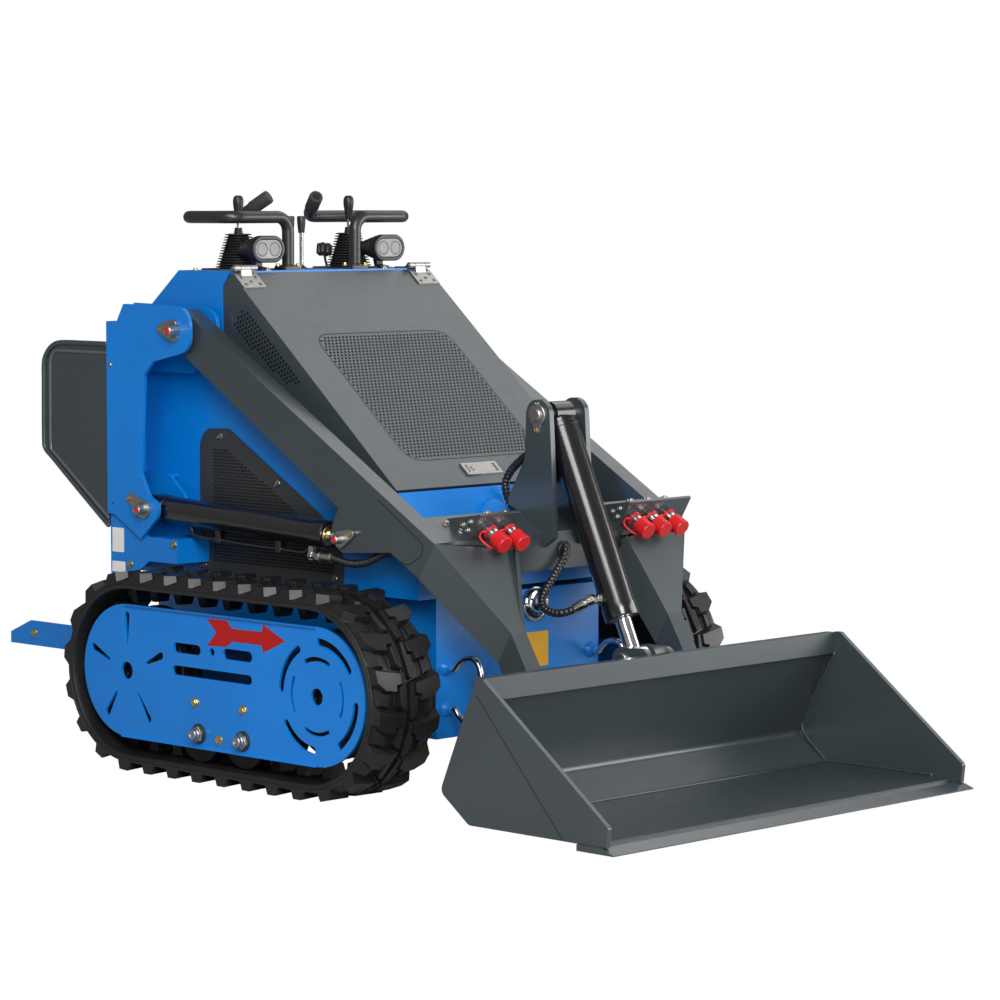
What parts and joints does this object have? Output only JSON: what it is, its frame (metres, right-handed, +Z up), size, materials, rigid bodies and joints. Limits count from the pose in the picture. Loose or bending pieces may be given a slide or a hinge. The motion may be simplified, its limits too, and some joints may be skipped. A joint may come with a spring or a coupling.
{
  "type": "mini track loader",
  "caption": "Stand-on mini loader on rubber tracks with lift arms, tilt cylinder, bucket, control console with handlebars, opening hood and operator platform.",
  "frame": {"origin": "on the ground below the middle of the overall length and width", "axes": "+X forward towards the bucket, +Y to the machine's left, +Z up"},
  "size_m": [2.003, 1.032, 1.1605],
  "materials": {
    "slate_paint": "satin slate grey paint",
    "machine_blue": "satin blue paint",
    "chassis_blue": "satin blue paint",
    "gloss_black": "gloss black paint",
    "black_paint": "satin black paint",
    "dark_steel": "dark grey paint",
    "zinc_steel": "bright zinc plate",
    "chrome_rod": "hard chrome",
    "engine_iron": "cast iron",
    "track_rubber": "moulded rubber",
    "black_rubber": "soft rubber",
    "black_plastic": "black plastic",
    "coupler_red": "red plastic"
  },
  "bodies": {
    "root": {"body_side_left": "machine_blue", "body_side_right": "machine_blue", "console": "machine_blue", "control_levers": "black_plastic", "drive_sprockets": "dark_steel", "engine": "engine_iron", "front_panel": "machine_blue", "handlebars": "black_paint", "hinge_mounts": "zinc_steel", "hydraulic_tank": "machine_blue", "idler_wheels": "dark_steel", "joysticks": "black_rubber", "lower_frame": "machine_blue", "platform": "machine_blue", "side_grilles": "dark_steel", "side_pads": "slate_paint", "tank_fittings": "machine_blue", "tow_hooks": "zinc_steel", "tower_left": "machine_blue", "tower_pins": "zinc_steel", "tower_right": "machine_blue", "track_cover_left": "machine_blue", "track_cover_right": "machine_blue", "track_frame_left": "chassis_blue", "track_frame_right": "chassis_blue", "track_left": "track_rubber", "track_right": "track_rubber", "track_rollers": "dark_steel", "work_lights": "black_plastic"},
    "loader_arms": {"bucket_pins": "zinc_steel", "coupler_brackets": "slate_paint", "couplers": "coupler_red", "cross_member": "slate_paint", "forearm_left": "slate_paint", "forearm_right": "slate_paint", "lift_arm_left": "slate_paint", "lift_arm_right": "slate_paint", "mast_ears": "slate_paint", "tilt_pin": "zinc_steel"},
    "bucket": {"bucket": "slate_paint", "cutting_edge": "slate_paint"},
    "hood": {"hood": "slate_paint", "hood_hinges": "zinc_steel", "hood_latch": "zinc_steel"},
    "lift_barrel_right": {"lift_barrel_right": "gloss_black"},
    "lift_barrel_left": {"lift_barrel_left": "gloss_black"},
    "lift_rod_right": {"lift_rod_right": "chrome_rod"},
    "lift_rod_left": {"lift_rod_left": "chrome_rod"},
    "tilt_barrel": {"tilt_barrel": "gloss_black"},
    "tilt_rod": {"tilt_rod": "chrome_rod"}
  },
  "joints": [
    {"name": "arm_lift", "type": "hinge", "parent": "root", "child": "loader_arms", "pos_m": [-0.3255, 0, 0.88], "axis": [0, -1, 0], "range_deg": [0, 76]},
    {"name": "bucket_tilt", "type": "hinge", "parent": "loader_arms", "child": "bucket", "pos_m": [0.5555, 0, 0.15], "axis": [0, 1, 0], "range_deg": [-18, 114]},
    {"name": "lift_barrel_right_swing", "type": "hinge", "parent": "root", "child": "lift_barrel_right", "pos_m": [-0.4275, -0.334, 0.516], "axis": [0, -1, 0], "range_deg": [-0.5, 53.71]},
    {"name": "lift_rod_right_slide", "type": "slide", "parent": "lift_barrel_right", "child": "lift_rod_right", "axis": [0.9989, 0, -0.0476], "range_m": [-0.001, 0.36724]},
    {"name": "lift_barrel_left_swing", "type": "hinge", "parent": "root", "child": "lift_barrel_left", "pos_m": [-0.4275, 0.334, 0.516], "axis": [0, -1, 0], "range_deg": [-0.5, 53.71]},
    {"name": "lift_rod_left_slide", "type": "slide", "parent": "lift_barrel_left", "child": "lift_rod_left", "axis": [0.9989, 0, -0.0476], "range_m": [-0.001, 0.36724]},
    {"name": "tilt_barrel_swing", "type": "hinge", "parent": "loader_arms", "child": "tilt_barrel", "pos_m": [0.3755, 0, 0.726], "axis": [0, 1, 0], "range_deg": [-0.7, 1.75]},
    {"name": "tilt_rod_slide", "type": "slide", "parent": "tilt_barrel", "child": "tilt_rod", "axis": [0.4089, 0, -0.9126], "range_m": [-0.03196, 0.19708]},
    {"name": "hood_open", "type": "hinge", "parent": "root", "child": "hood", "pos_m": [-0.2615, 0, 1.004], "axis": [0, -1, 0], "range_deg": [0, 60]}
  ],
  "couplings": [
    {"joint": "lift_barrel_right_swing", "follows": "arm_lift", "ratio": 0.70015},
    {"joint": "lift_rod_right_slide", "follows": "arm_lift", "m_per_rad": 0.2761},
    {"joint": "lift_barrel_left_swing", "follows": "arm_lift", "ratio": 0.70015},
    {"joint": "lift_rod_left_slide", "follows": "arm_lift", "m_per_rad": 0.2761},
    {"joint": "tilt_barrel_swing", "follows": "bucket_tilt", "ratio": 0.010935},
    {"joint": "tilt_rod_slide", "follows": "bucket_tilt", "m_per_rad": 0.098548}
  ]
}
